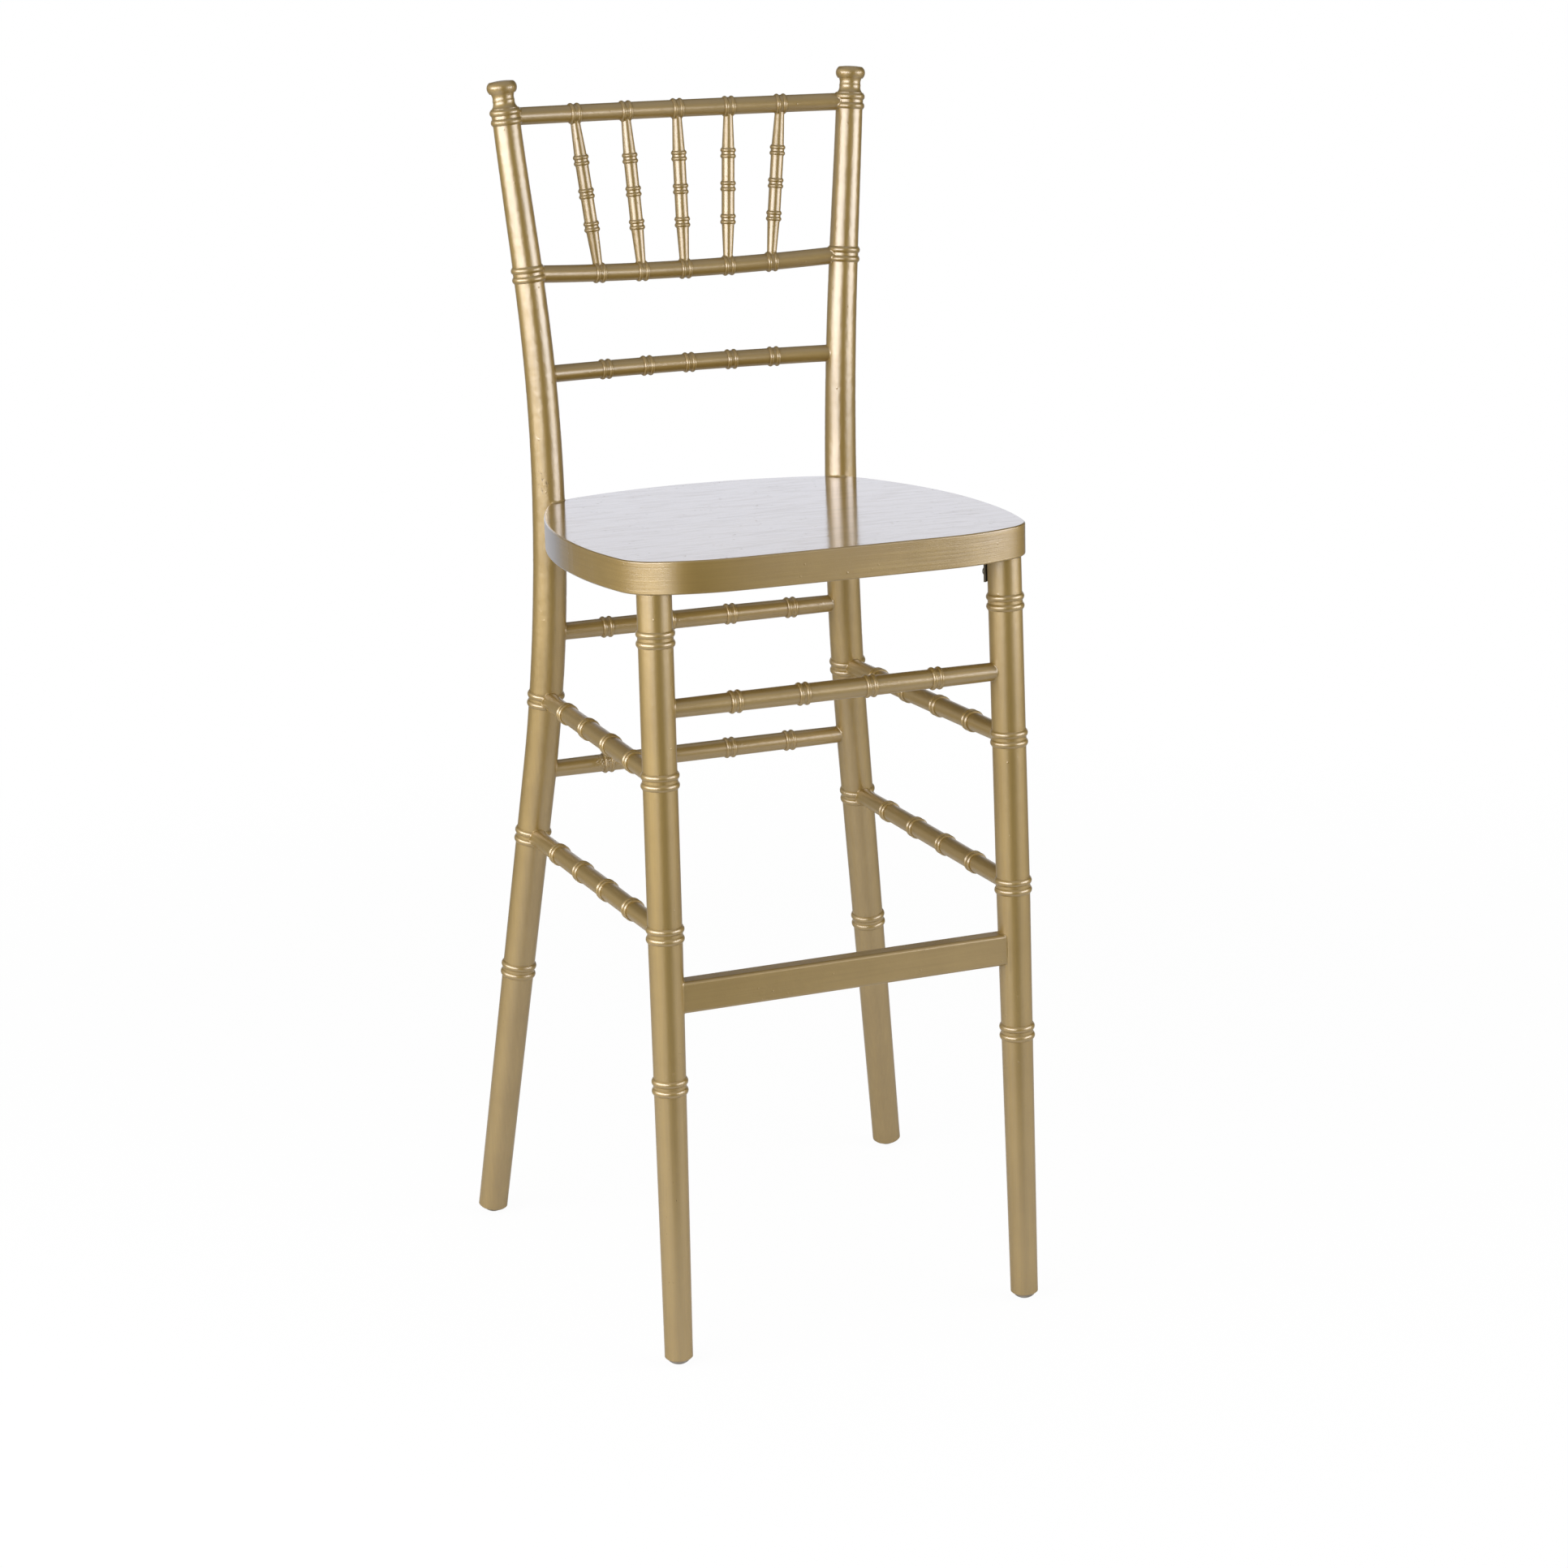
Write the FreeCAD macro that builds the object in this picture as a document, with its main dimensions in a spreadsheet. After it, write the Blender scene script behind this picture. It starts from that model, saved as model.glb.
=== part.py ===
import FreeCAD, Part
import os
import Sketcher
from math import asin, atan2, cos, degrees, radians, sin, sqrt, tan
from FreeCAD import Placement, Rotation, Vector

doc = FreeCAD.newDocument("ChiavariBarStool")

# Driving dimensions in millimetres and degrees, x and y measured from the middle of the stool.
driving = [
    ("seat_height", 762),
    ("seat_thickness", 30),
    ("seat_half_width", 209.4),
    ("seat_front_reach", 240.8),
    ("seat_flank_radius", 438),
    ("seat_flank_turn", 13),
    ("seat_front_corner", 44),
    ("seat_shoulder_radius", 184),
    ("seat_shoulder_turn", 24),
    ("seat_side_turn", 25),
    ("seat_rear_corner", 70),
    ("seat_rear_turn", 70),
    ("seat_edge_round", 1.5),
    ("rear_foot_x", 227),
    ("rear_foot_y", 226.6),
    ("rear_knee_x", 143),
    ("rear_knee_y", 132.9),
    ("rear_knee_z", 728),
    ("crest_x", 177.6),
    ("crest_y", 151.1),
    ("crest_z", 1132),
    ("post_bend_radius", 1915),
    ("post_foot_diameter", 30),
    ("post_seat_diameter", 33.6),
    ("post_crest_diameter", 26.6),
    ("post_full_z", 655),
    ("finial_height", 34.2),
    ("finial_cap_diameter", 29.2),
    ("finial_cap_low", 22.2),
    ("finial_cap_middle", 27.6),
    ("finial_brim_inset", 2.1),
    ("finial_collar_step", 1.1),
    ("finial_shoulder_inset", 3),
    ("finial_crown_rise", 1),
    ("finial_neck_diameter", 21.4),
    ("finial_neck_rise", 15.5),
    ("finial_cove_radius", 8),
    ("front_foot_x", 179.3),
    ("front_foot_y", 218.7),
    ("front_top_x", 171.2),
    ("front_top_y", 207.3),
    ("front_leg_diameter", 31.8),
    ("front_foot_diameter", 26.6),
    ("front_taper_z", 400),
    ("front_collar_z", 690.5),
    ("side_upper_z", 561),
    ("side_lower_z", 418),
    ("low_ring_z", 273.4),
    ("middle_rail_z", 983),
    ("lower_rail_z", 885.5),
    ("rear_upper_z", 628.7),
    ("rear_lower_z", 486),
    ("front_stretcher_z", 625),
    ("foot_rail_z", 357.2),
    ("foot_rail_depth", 18.5),
    ("foot_rail_height", 30),
    ("foot_rail_round", 3),
    ("foot_rail_inset", 3),
    ("rail_diameter", 16.8),
    ("rail_bow", 13),
    ("middle_rail_tilt", 25),
    ("top_bead_pitch", 53.5),
    ("middle_bead_pitch", 45.2),
    ("lower_bead_pitch", 44.4),
    ("stretcher_end_diameter", 17),
    ("stretcher_middle_diameter", 18.4),
    ("cross_bead_pitch", 66),
    ("side_bead_pitch", 71),
    ("rail_bead_spacing", 6.8),
    ("rail_bead_width", 3.8),
    ("rail_bead_proud", 1.6),
    ("leg_bead_spacing", 9),
    ("leg_bead_width", 6.4),
    ("leg_bead_proud", 1.9),
    ("spindle_diameter", 12.7),
    ("spindle_end_diameter", 9.4),
    ("spindle_ring_pitch", 32),
    ("spindle_bead_spacing", 5.7),
    ("spindle_bead_width", 4),
    ("spindle_bead_proud", 1.4),
    ("bead_step", 0.4),
    ("joint_clearance", 0.15),
    ("tenon_end_gap", 0.4),
    ("leg_tenon_diameter", 22),
    ("leg_tenon_length", 18),
    ("slot_direction", 50),
    ("slot_depth", 5),
    ("slot_above", 1.2),
    ("slot_below", 7),
    ("slot_width", 30),
    ("slot_end_radius", 9),
    ("seat_gap", 0.3),
    ("foot_chamfer", 1.5),
    ("glide_diameter", 19),
    ("glide_height", 6),
    ("glide_dome_radius", 14),
    ("glide_pin_diameter", 3),
    ("glide_pin_length", 16),
    ("bracket_leg_height", 24),
    ("bracket_seat_length", 24),
    ("bracket_width", 11),
    ("bracket_thickness", 2),
    ("bracket_leg_screw_drop", 14.5),
    ("bracket_seat_screw_reach", 14.5),
    ("screw_shank_diameter", 3.6),
    ("screw_length", 14),
    ("screw_head_diameter", 7.6),
    ("screw_head_height", 2.2),
    ("seat_screw_diameter", 6),
    ("seat_screw_length", 60),
    ("seat_screw_head_diameter", 11),
    ("seat_screw_head_height", 4),
    ("seat_screw_sink", 1),
    ("screw_head_crown", 1),
]
sheet = doc.addObject("Spreadsheet::Sheet", "size")
for row, (alias, number) in enumerate(driving, start=1):
    sheet.set(f"A{row}", alias)
    sheet.set(f"B{row}", str(number))
    sheet.setAlias(f"B{row}", alias)
doc.recompute()


# A dimension carries the sheet's expression and its present value together.
class Dim:
    def __init__(self, text, value):
        self.text = text
        self.value = float(value)

    def __add__(self, other):
        other = as_dim(other)
        return Dim(f"({self.text} + {other.text})", self.value + other.value)

    def __sub__(self, other):
        other = as_dim(other)
        return Dim(f"({self.text} - {other.text})", self.value - other.value)

    def __mul__(self, other):
        other = as_dim(other)
        return Dim(f"({self.text} * {other.text})", self.value * other.value)

    def __truediv__(self, other):
        other = as_dim(other)
        return Dim(f"({self.text} / {other.text})", self.value / other.value)

    def __neg__(self):
        return Dim(f"(0 - {self.text})", -self.value)


def as_dim(item):
    return item if isinstance(item, Dim) else Dim(f"{item:.9f}", item)


def dim(alias):
    return Dim(f"size.{alias}", sheet.get(alias))


def val(alias):
    return float(sheet.get(alias))


# Bodies, sketches and the features every turned piece is made of.
def new_body(label):
    body = doc.addObject("PartDesign::Body", label)
    body.Label = label
    return body


def datum(body, role):
    return next(item for item in body.Origin.OriginFeatures if item.Role == role)


def new_sketch(body, name, role="XZ_Plane", offset=None):
    sketch = body.newObject("Sketcher::SketchObject", name)
    sketch.AttachmentSupport = (datum(body, role), [""])
    sketch.MapMode = "FlatFace"
    if offset is not None:
        sketch.AttachmentOffset = offset
    return sketch


# Tie a property or a sketch's constraint to the sheet, unless its value is worked out from the centre lines.
def bind(item, name, size):
    if "size." in size.text:
        item.setExpression(name, size.text)


def pin(sketch, geo, pos, axis, place):
    place = as_dim(place)
    if abs(place.value) < 1e-9:
        sketch.addConstraint(Sketcher.Constraint("PointOnObject", geo, pos, -2 if axis == "X" else -1))
        return
    kind = "Distance" + axis
    if place.value > 0:
        index = sketch.addConstraint(Sketcher.Constraint(kind, -1, 1, geo, pos, place.value))
    else:
        place = -place
        index = sketch.addConstraint(Sketcher.Constraint(kind, geo, pos, -1, 1, place.value))
    bind(sketch, f"Constraints[{index}]", place)


# A closed outline: corners are (x, y) pairs, and bends maps an edge's number to (radius, bulge sign).
# A positive sign puts the arc to the left of the edge's direction of travel.
def closed_outline(sketch, corners, bends=None):
    bends = bends or {}
    count = len(corners)
    points = [Vector(as_dim(x).value, as_dim(y).value, 0) for x, y in corners]
    ends = []
    for number in range(count):
        start, stop = points[number], points[(number + 1) % count]
        if number not in bends:
            geo = sketch.addGeometry(Part.LineSegment(start, stop))
            ends.append((geo, 1, 2))
            continue
        radius, sign = as_dim(bends[number][0]), bends[number][1]
        chord = stop - start
        left = Vector(-chord.y, chord.x, 0).normalize()
        stand_off = sqrt(max(radius.value ** 2 - chord.Length ** 2 / 4, 0))
        centre = (start + stop) / 2 - left * (sign * stand_off)
        first, last = (stop, start) if sign > 0 else (start, stop)
        begin, end = (atan2(point.y - centre.y, point.x - centre.x) for point in (first, last))
        circle = Part.Circle(centre, Vector(0, 0, 1), radius.value)
        geo = sketch.addGeometry(Part.ArcOfCircle(circle, begin, end))
        ends.append((geo, 2, 1) if sign > 0 else (geo, 1, 2))
        index = sketch.addConstraint(Sketcher.Constraint("Radius", geo, radius.value))
        bind(sketch, f"Constraints[{index}]", radius)
    for number in range(count):
        geo, first, last = ends[number]
        after, after_first, after_last = ends[(number + 1) % count]
        sketch.addConstraint(Sketcher.Constraint("Coincident", geo, last, after, after_first))
        pin(sketch, geo, first, "X", corners[number][0])
        pin(sketch, geo, first, "Y", corners[number][1])
    return sketch


def revolve(body, sketch, name):
    feature = body.newObject("PartDesign::Revolution", name)
    feature.Profile = sketch
    feature.ReferenceAxis = (sketch, ["V_Axis"])
    feature.Angle = 360
    return feature


# Radius of an arc that falls away from its tangent by the drop over the run.
def arc_radius(drop, run):
    return (run * run + drop * drop) / (drop * 2)


# Two beads with a groove between them, standing on a shallow step round a shaft.
def bead_pair(body, name, radius, kind, offset, role="XZ_Plane"):
    spacing, width, proud = dim(kind + "_bead_spacing"), dim(kind + "_bead_width"), dim(kind + "_bead_proud")
    base = radius + dim("bead_step")
    core = radius / 2
    crown = proud - dim("bead_step")
    bulge = arc_radius(crown, width / 2)
    reach = spacing / 2 + width / 2 + dim("bead_step")
    near, far = spacing / 2 - width / 2, spacing / 2 + width / 2
    corners = [(core, -reach), (base, -reach), (base, -far), (base, -near),
               (base, near), (base, far), (base, reach), (core, reach)]
    sketch = new_sketch(body, name + "Outline", role, offset)
    closed_outline(sketch, corners, {2: (bulge, -1), 4: (bulge, -1)})
    return revolve(body, sketch, name)


def drill(body, name, radius, length, start, direction):
    hole = body.newObject("PartDesign::SubtractiveCylinder", name)
    hole.Radius = radius.value
    hole.Height = length.value
    bind(hole, "Radius", radius)
    bind(hole, "Height", length)
    turn = Rotation(Vector(0, 0, 1), direction)
    hole.Placement = body.Placement.inverse().multiply(Placement(start, turn))
    return hole


# Height of the middle of a leg's flat foot: the glide's dome below it just touches the floor.
def foot_rise(axis):
    dome = val("glide_dome_radius")
    return dome - (dome - val("glide_height")) * axis.z


# The rear post's centre line: a straight run from the foot, one bend at the seat, a straight run to the top.
class PostLine:
    def __init__(self, side):
        foot = Vector(side * val("rear_foot_x"), val("rear_foot_y"), 0)
        knee = Vector(side * val("rear_knee_x"), val("rear_knee_y"), val("rear_knee_z"))
        crest = Vector(side * val("crest_x"), val("crest_y"), val("crest_z"))
        self.low = (knee - foot).normalize()
        high = (crest - knee).normalize()
        self.bend = self.low.getAngle(high)
        tangent = val("post_bend_radius") * tan(self.bend / 2)
        self.out = (high - self.low * high.dot(self.low)).normalize()
        self.base = foot + self.low * (foot_rise(self.low) / self.low.z)
        self.run = (knee - self.base).Length - tangent
        self.arc = val("post_bend_radius") * self.bend
        self.top = (crest - knee).Length - tangent
        self.placement = Placement(self.base, Rotation(self.out, self.low.cross(self.out), self.low, "ZXY"))

    # Place in the bend's own plane: distance along the foot's axis, distance across it, and lean.
    def local(self, travel):
        if travel <= self.run:
            return Vector(0, 0, travel), 0.0
        radius = val("post_bend_radius")
        lean = min((travel - self.run) / radius, self.bend)
        rest = max(travel - self.run - self.arc, 0)
        across = radius * (1 - cos(lean)) + rest * sin(lean)
        return Vector(across, 0, self.run + radius * sin(lean) + rest * cos(lean)), lean

    def point(self, travel):
        return self.placement.multVec(self.local(travel)[0])

    def at_height(self, height):
        low, high = 0.0, self.run + self.arc + self.top + val("finial_height")
        for step in range(60):
            middle = (low + high) / 2
            if self.point(middle).z < height:
                low = middle
            else:
                high = middle
        return low

    def joint(self, height):
        return self.point(self.at_height(height))

    def sketch_offset(self, travel):
        place, lean = self.local(travel)
        return Placement(Vector(place.x, place.z, 0), Rotation(Vector(0, 0, 1), -degrees(lean)))


class FrontLine:
    def __init__(self, side):
        under_seat = val("seat_height") - val("seat_thickness")
        foot = Vector(side * val("front_foot_x"), -val("front_foot_y"), 0)
        head = Vector(side * val("front_top_x"), -val("front_top_y"), under_seat)
        self.low = (head - foot).normalize()
        self.base = foot + self.low * (foot_rise(self.low) / self.low.z)
        tilt = sqrt(1 - self.low.z ** 2)
        self.shoulder = (head - self.base).Length - val("front_leg_diameter") / 2 * tilt / self.low.z
        self.placement = Placement(self.base, Rotation(Vector(0, 0, 1), self.low))

    def joint(self, height):
        return self.base + self.low * ((height - self.base.z) / self.low.z)

    def travel(self, height):
        return (height - self.base.z) / self.low.z


lines = {side: PostLine(side) for side in (-1, 1)}
fronts = {side: FrontLine(side) for side in (-1, 1)}
side_name = {-1: "left", 1: "right"}
up = Vector(0, 0, 1)
under_seat = val("seat_height") - val("seat_thickness")
seat_middle = val("seat_height") - val("seat_thickness") / 2


def post_radius(line, travel):
    foot, full = val("post_foot_diameter") / 2, val("post_seat_diameter") / 2
    crest = val("post_crest_diameter") / 2
    if travel < line.run:
        return foot + (full - foot) * travel / line.run
    start = line.at_height(val("post_full_z"))
    stop = line.at_height(val("crest_z"))
    return full + (crest - full) * min(max(travel - start, 0) / (stop - start), 1)


def leg_radius(height):
    foot, full = val("front_foot_diameter") / 2, val("front_leg_diameter") / 2
    return foot + (full - foot) * min(height / val("front_taper_z"), 1)


# Inward direction of a post's seat slot, and the point of the post's axis beside the seat's middle.
def slot_frame(side):
    turn = radians(val("slot_direction"))
    inward = Vector(-side * cos(turn), -sin(turn), 0)
    travel = lines[side].at_height(seat_middle)
    return lines[side].point(travel), inward, post_radius(lines[side], travel) - val("slot_depth")


def rounded_rectangle(sketch, width, height, radius):
    x, y = width / 2, height / 2
    corners = [(radius - x, -y), (x - radius, -y), (x, radius - y), (x, y - radius),
               (x - radius, y), (radius - x, y), (-x, y - radius), (-x, radius - y)]
    return closed_outline(sketch, corners, {number: (radius, -1) for number in (1, 3, 5, 7)})


# A pocket cut from outside: the outline lies at a point, facing a direction, with its height upright.
def cut_pocket(body, name, width, height, radius, place, facing, depth):
    turn = Rotation(up.cross(facing), up, facing, "ZYX")
    offset = body.Placement.inverse().multiply(Placement(place, turn))
    sketch = new_sketch(body, name + "Outline", "XY_Plane", offset)
    rounded_rectangle(sketch, width, height, radius)
    pocket = body.newObject("PartDesign::Pocket", name)
    pocket.Profile = sketch
    pocket.Length = depth
    return pocket


def circle_section(body, name, radius, offset, role="XY_Plane", centre=0.0):
    sketch = new_sketch(body, name, role, offset)
    sketch.addGeometry(Part.Circle(Vector(centre, 0, 0), up, radius.value))
    index = sketch.addConstraint(Sketcher.Constraint("Radius", 0, radius.value))
    bind(sketch, f"Constraints[{index}]", radius)
    pin(sketch, 0, 3, "X", centre)
    pin(sketch, 0, 3, "Y", 0)
    return sketch


# Rails and stretchers meet the legs on the legs' axes, and each joint is a round tenon in a blind hole.
def rail_ends(height):
    return lines[-1].joint(height), lines[1].joint(height)


def side_ends(side, height):
    return lines[side].joint(height), fronts[side].joint(height)


def front_ends(height):
    return fronts[-1].joint(height), fronts[1].joint(height)


class BackRail:
    def __init__(self, label, height, pitch, tilt, beads=5):
        self.label, self.pitch, self.beads = label, pitch, beads
        left, right = rail_ends(height)
        half, bow = (right - left).Length / 2, val("rail_bow")
        self.radius = (half ** 2 + bow ** 2) / (2 * bow)
        self.half_angle = asin(half / self.radius)
        self.back = Vector(0, cos(radians(tilt)), -sin(radians(tilt)))
        centre = (left + right) / 2 + self.back * (bow - self.radius)
        across = Vector(1, 0, 0)
        self.placement = Placement(centre, Rotation(across, self.back, across.cross(self.back), "XYZ"))

    def point(self, along):
        turn = along / self.radius
        return self.placement.multVec(Vector(self.radius * sin(turn), self.radius * cos(turn), 0))

    def tangent(self, along):
        turn = along / self.radius
        return self.placement.Rotation.multVec(Vector(cos(turn), -sin(turn), 0))

    def end(self, side):
        along = side * self.radius * self.half_angle
        return self.point(along), self.tangent(along) * -side


top_rail = BackRail("top_back_rail", val("crest_z"), val("top_bead_pitch"), 0)
middle_rail = BackRail("middle_back_rail", val("middle_rail_z"), val("middle_bead_pitch"),
                       val("middle_rail_tilt"))
lower_rail = BackRail("lower_back_rail", val("lower_rail_z"), val("lower_bead_pitch"), 0)
back_rails = [top_rail, middle_rail, lower_rail]
spindle_places = [-2, -1, 0, 1, 2]


def spindle_ends(place):
    return top_rail.point(place * top_rail.pitch), middle_rail.point(place * middle_rail.pitch)


# Rear post: turned, bent once, with ring pairs, a finial, joint holes and the slot for the seat's corner.
def make_rear_post(side):
    line = lines[side]
    body = new_body("rear_post_" + side_name[side])
    body.Placement = line.placement
    foot, full, chamfer = dim("post_foot_diameter") / 2, dim("post_seat_diameter") / 2, dim("foot_chamfer")
    sketch = new_sketch(body, "PostFootOutline")
    closed_outline(sketch, [(0, 0), (foot - chamfer, 0), (foot, chamfer), (full, line.run), (0, line.run)])
    revolve(body, sketch, "PostFoot")
    crest = line.at_height(val("crest_z"))
    full_travel = line.at_height(val("post_full_z"))
    spans = 4
    stations = [line.run, (line.run + full_travel) / 2]
    stations += [full_travel + (crest - full_travel) * step / spans for step in range(spans + 1)]
    sections = []
    for travel in stations:
        place, lean = line.local(travel)
        offset = Placement(place, Rotation(Vector(0, 1, 0), degrees(lean)))
        sections.append(circle_section(body, "PostSection", as_dim(post_radius(line, travel)), offset))
    loft = body.newObject("PartDesign::AdditiveLoft", "PostBend")
    loft.Profile = sections[0]
    loft.Sections = [(section, [""]) for section in sections[1:]]
    make_finial(body, line.sketch_offset(crest))
    for alias in ("low_ring_z", "side_lower_z", "side_upper_z", "middle_rail_z", "crest_z"):
        travel = line.at_height(val(alias))
        radius = as_dim(post_radius(line, travel))
        bead_pair(body, "PostRing", radius, "leg", line.sketch_offset(travel))
    bore = dim("stretcher_end_diameter") / 2 + dim("joint_clearance")
    reach = dim("post_seat_diameter")
    for alias in ("side_lower_z", "side_upper_z"):
        start, stop = side_ends(side, val(alias))
        drill(body, "SideHole", bore, reach, start, stop - start)
    for alias in ("rear_lower_z", "rear_upper_z"):
        start = line.joint(val(alias))
        drill(body, "RearHole", bore, reach, start, Vector(-side, 0, 0))
    for rail in back_rails:
        start, inward = rail.end(side)
        drill(body, "RailHole", dim("rail_diameter") / 2 + dim("joint_clearance"), reach, start, inward)
    drill_glide_hole(body, line)
    axis, inward, floor = slot_frame(side)
    outside = val("post_seat_diameter")
    tall = dim("seat_thickness") + dim("slot_above") + dim("slot_below")
    middle = val("seat_height") + val("slot_above") - tall.value / 2
    place = Vector(axis.x, axis.y, middle) + inward * outside
    cut_pocket(body, "SeatSlot", dim("slot_width"), tall, dim("slot_end_radius"), place, inward,
               outside - floor)
    shank = dim("seat_screw_diameter") / 2 + dim("joint_clearance")
    drill(body, "SeatScrewHole", shank, reach, axis, inward)
    drill(body, "SeatScrewHole", shank, reach, axis, -inward)
    head = dim("seat_screw_head_diameter") / 2 + dim("joint_clearance")
    drill(body, "SeatScrewSeat", head, reach, seat_screw_head(side), -inward)
    return body


# Finial above the top ring, turned on the post's own axis: a waisted neck and a drum cap.
def make_finial(body, offset):
    post, neck = dim("post_crest_diameter") / 2, dim("finial_neck_diameter") / 2
    ring = dim("leg_bead_spacing") / 2 + dim("leg_bead_width") / 2
    cap, top, crown = dim("finial_cap_diameter") / 2, dim("finial_height"), dim("finial_crown_rise")
    low, middle = dim("finial_cap_low"), dim("finial_cap_middle")
    brim, table = cap - dim("finial_brim_inset"), cap - dim("finial_shoulder_inset")
    collar, rim = brim - dim("finial_collar_step"), top - crown
    under, over = arc_radius(cap - brim, middle - low), arc_radius(cap - table, rim - middle)
    corners = [(0, 0), (post, 0), (post, ring), (neck, dim("finial_neck_rise")), (collar, low), (brim, low),
               (cap, middle), (table, rim), (0, top)]
    sketch = new_sketch(body, "FinialOutline", "XZ_Plane", offset)
    cove = (dim("finial_cove_radius"), 1)
    bends = {2: cove, 3: cove, 5: (under, -1), 6: (over, -1), 7: (arc_radius(crown, table), -1)}
    closed_outline(sketch, corners, bends)
    return revolve(body, sketch, "Finial")


def drill_glide_hole(body, line):
    pin_radius = dim("glide_pin_diameter") / 2 + dim("joint_clearance")
    drill(body, "GlideHole", pin_radius, dim("glide_pin_length") + dim("tenon_end_gap"), line.base, line.low)


# Front leg: turned, parallel above and tapering to the foot, with a tenon for the seat.
def make_front_leg(side):
    line = fronts[side]
    body = new_body("front_leg_" + side_name[side])
    body.Placement = line.placement
    foot, full, chamfer = dim("front_foot_diameter") / 2, dim("front_leg_diameter") / 2, dim("foot_chamfer")
    tenon = dim("leg_tenon_diameter") / 2
    shoulder = as_dim(line.shoulder)
    tip = shoulder + dim("leg_tenon_length")
    corners = [(0, 0), (foot - chamfer, 0), (foot, chamfer), (full, line.travel(val("front_taper_z"))),
               (full, shoulder), (tenon, shoulder), (tenon, tip), (0, tip)]
    revolve(body, closed_outline(new_sketch(body, "LegOutline"), corners), "LegTurning")
    for alias in ("low_ring_z", "side_lower_z", "side_upper_z", "front_collar_z"):
        offset = Placement(Vector(0, line.travel(val(alias)), 0), Rotation())
        bead_pair(body, "LegRing", as_dim(leg_radius(val(alias))), "leg", offset)
    bore = dim("stretcher_end_diameter") / 2 + dim("joint_clearance")
    for alias in ("side_lower_z", "side_upper_z"):
        stop, start = side_ends(side, val(alias))
        drill(body, "SideHole", bore, dim("front_leg_diameter"), start, stop - start)
    start = line.joint(val("front_stretcher_z"))
    drill(body, "FrontHole", bore, dim("front_leg_diameter"), start, Vector(-side, 0, 0))
    drill_glide_hole(body, line)
    inward = Vector(-side, 0, 0)
    outside, fit = val("front_leg_diameter"), dim("joint_clearance") * 2
    place = line.joint(val("foot_rail_z")) + inward * outside
    depth = outside - val("foot_rail_inset") + val("tenon_end_gap")
    round_over = dim("foot_rail_round") + dim("joint_clearance")
    cut_pocket(body, "FootRailMortise", dim("foot_rail_depth") + fit, dim("foot_rail_height") + fit,
               round_over, place, inward, depth)
    place, direction = leg_screw(side)
    drill(body, "BracketScrewHole", screw_bore(), dim("screw_length"), place, direction)
    return body


# Seat: one thick panel whose rear corners are held in the posts' slots.
def make_seat():
    body = new_body("seat_panel")
    body.Placement = Placement(Vector(0, 0, under_seat), Rotation())
    axis, inward, floor = slot_frame(1)
    radius = val("seat_rear_corner")
    side_turn, rear_turn = radians(val("seat_side_turn")), radians(val("seat_rear_turn"))
    centre = axis + inward * (floor + val("seat_gap") + radius)
    half, reach = val("seat_half_width"), val("seat_front_reach")
    flank = Vector(centre.x + radius * cos(side_turn), centre.y + radius * sin(side_turn), 0)
    rear = Vector(centre.x + radius * cos(rear_turn), centre.y + radius * sin(rear_turn), 0)
    side_radius = (half - flank.x) / (1 - cos(side_turn))
    widest = flank.y - side_radius * sin(side_turn)
    back_radius = rear.x / cos(rear_turn)
    long, short, brow = val("seat_flank_radius"), val("seat_front_corner"), val("seat_shoulder_radius")
    begin, end = radians(val("seat_flank_turn")), radians(90 - val("seat_shoulder_turn"))
    corner_x = half - long * (1 - cos(begin))
    brow_x = corner_x - short * (cos(begin) - cos(end))
    brow_y = brow * (1 - sin(end)) - reach
    corner_y = brow_y + short * (sin(end) - sin(begin))
    right = [(brow_x - brow * cos(end), -dim("seat_front_reach")), (brow_x, brow_y), (corner_x, corner_y),
             (dim("seat_half_width"), corner_y + long * sin(begin)), (dim("seat_half_width"), widest),
             (flank.x, flank.y), (rear.x, rear.y)]
    left = [(-as_dim(x), y) for x, y in reversed(right)]
    front = [(dim("seat_" + name), -1) for name in ("shoulder_radius", "front_corner", "flank_radius")]
    behind = [(side_radius, -1), (dim("seat_rear_corner"), -1)]
    bends = dict(enumerate(front))
    bends.update(enumerate(behind + [(back_radius, -1)] + behind[::-1], start=4))
    bends.update(enumerate(front[::-1], start=10))
    sketch = closed_outline(new_sketch(body, "SeatOutline", "XY_Plane"), right + left, bends)
    pad = body.newObject("PartDesign::Pad", "SeatPanel")
    pad.Profile = sketch
    pad.Length = val("seat_thickness")
    bind(pad, "Length", dim("seat_thickness"))
    doc.recompute()
    edges = enumerate(pad.Shape.Edges, start=1)
    rims = [f"Edge{number}" for number, edge in edges if edge.BoundBox.ZLength < 1e-6]
    soft = body.newObject("PartDesign::Fillet", "SeatEdges")
    soft.Base = (pad, rims)
    soft.Radius = val("seat_edge_round")
    bind(soft, "Radius", dim("seat_edge_round"))
    tenon = dim("leg_tenon_diameter") / 2 + dim("joint_clearance")
    for side, line in fronts.items():
        start = line.base + line.low * (line.shoulder - val("leg_tenon_length"))
        drill(body, "LegMortise", tenon, dim("leg_tenon_length") * 2 + dim("tenon_end_gap"), start, line.low)
        place, direction = seat_flange_screw(side)
        drill(body, "BracketScrewHole", screw_bore(), dim("screw_length"), place, direction)
        axis, inward, floor = slot_frame(side)
        pilot = dim("seat_screw_diameter") / 2 + dim("joint_clearance")
        length = dim("seat_screw_length") + dim("tenon_end_gap")
        drill(body, "SeatScrewHole", pilot, length, seat_screw_head(side), inward)
    return body


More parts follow.
